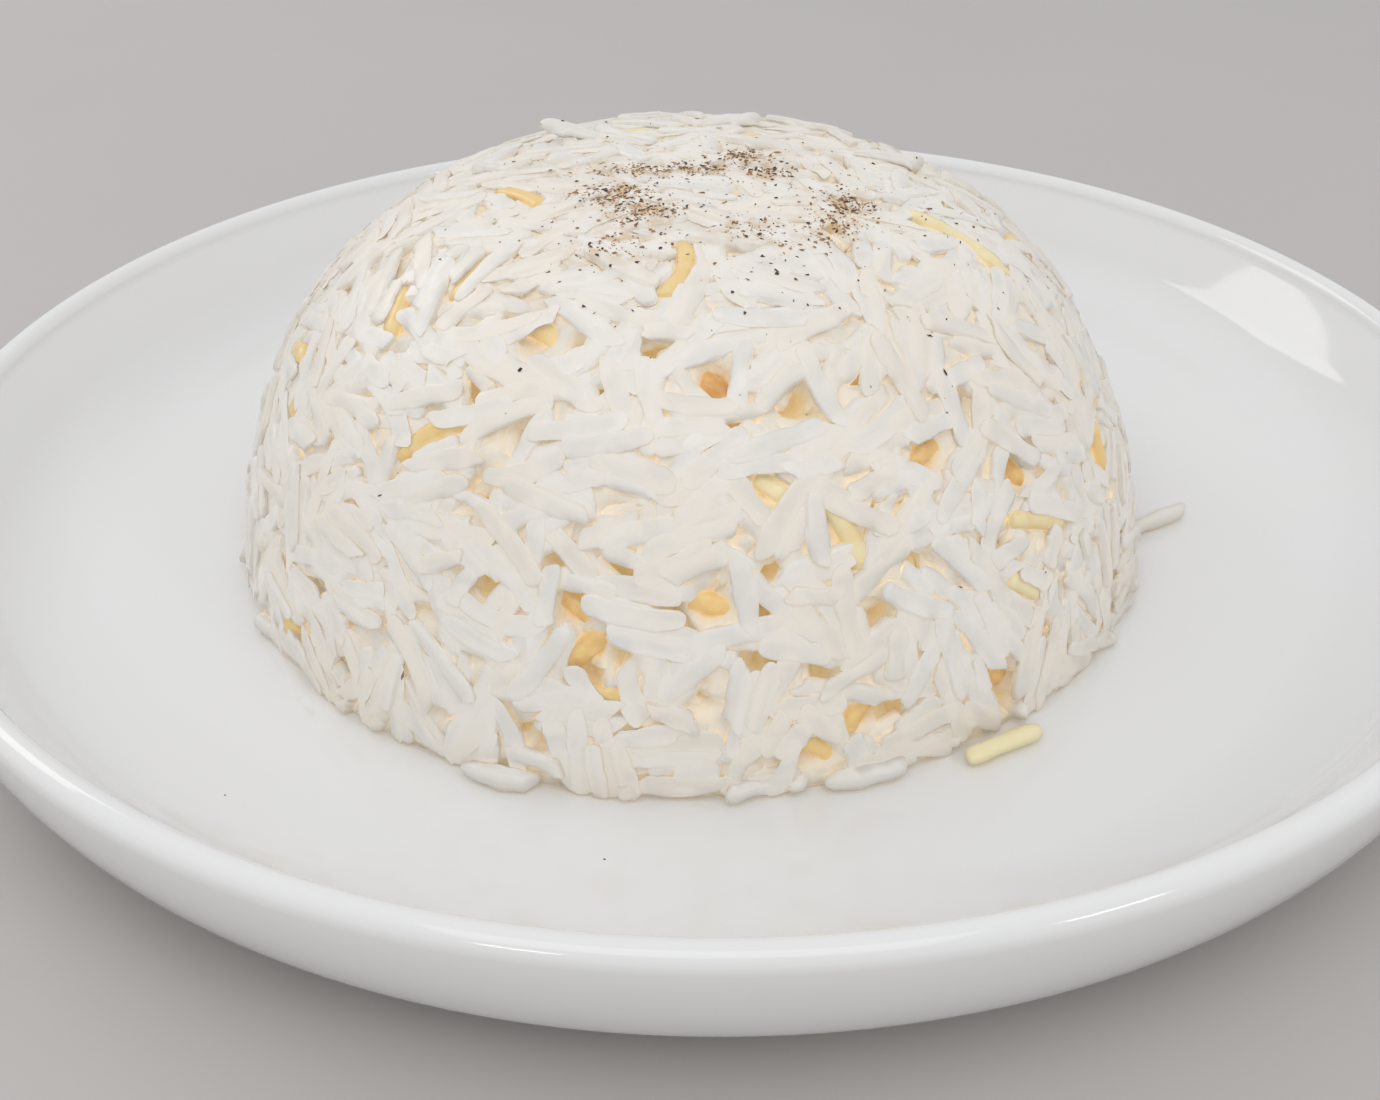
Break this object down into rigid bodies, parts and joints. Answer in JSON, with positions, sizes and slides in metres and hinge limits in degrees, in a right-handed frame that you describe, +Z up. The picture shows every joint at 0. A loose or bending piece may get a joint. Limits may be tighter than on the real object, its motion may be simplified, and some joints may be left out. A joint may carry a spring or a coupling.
{
  "type": "plate of rice pilaf",
  "caption": "Bowl-moulded dome of long-grain rice with short golden noodles and ground pepper, served on a round white plate with an upright rounded rim.",
  "frame": {"origin": "on the table, under the middle of the plate", "axes": "+Z up; -Y towards the front of the plate, the side of the rice dome that is seen first"},
  "size_m": [0.24, 0.24, 0.0642],
  "materials": {
    "plate_glaze": "smooth glossy white glaze, a little warmer over the rim",
    "rice": "cooked long-grain rice: translucent white, slightly moist, warm cream in the gaps",
    "noodle": "short cooked noodles fried before boiling: pale butter yellow to golden, slightly moist",
    "pepper": "coarsely ground black pepper: brown-black flakes with some tan ones"
  },
  "bodies": {
    "root": {"plate": "plate_glaze", "rice_mound": "rice"}
  },
  "joints": []
}
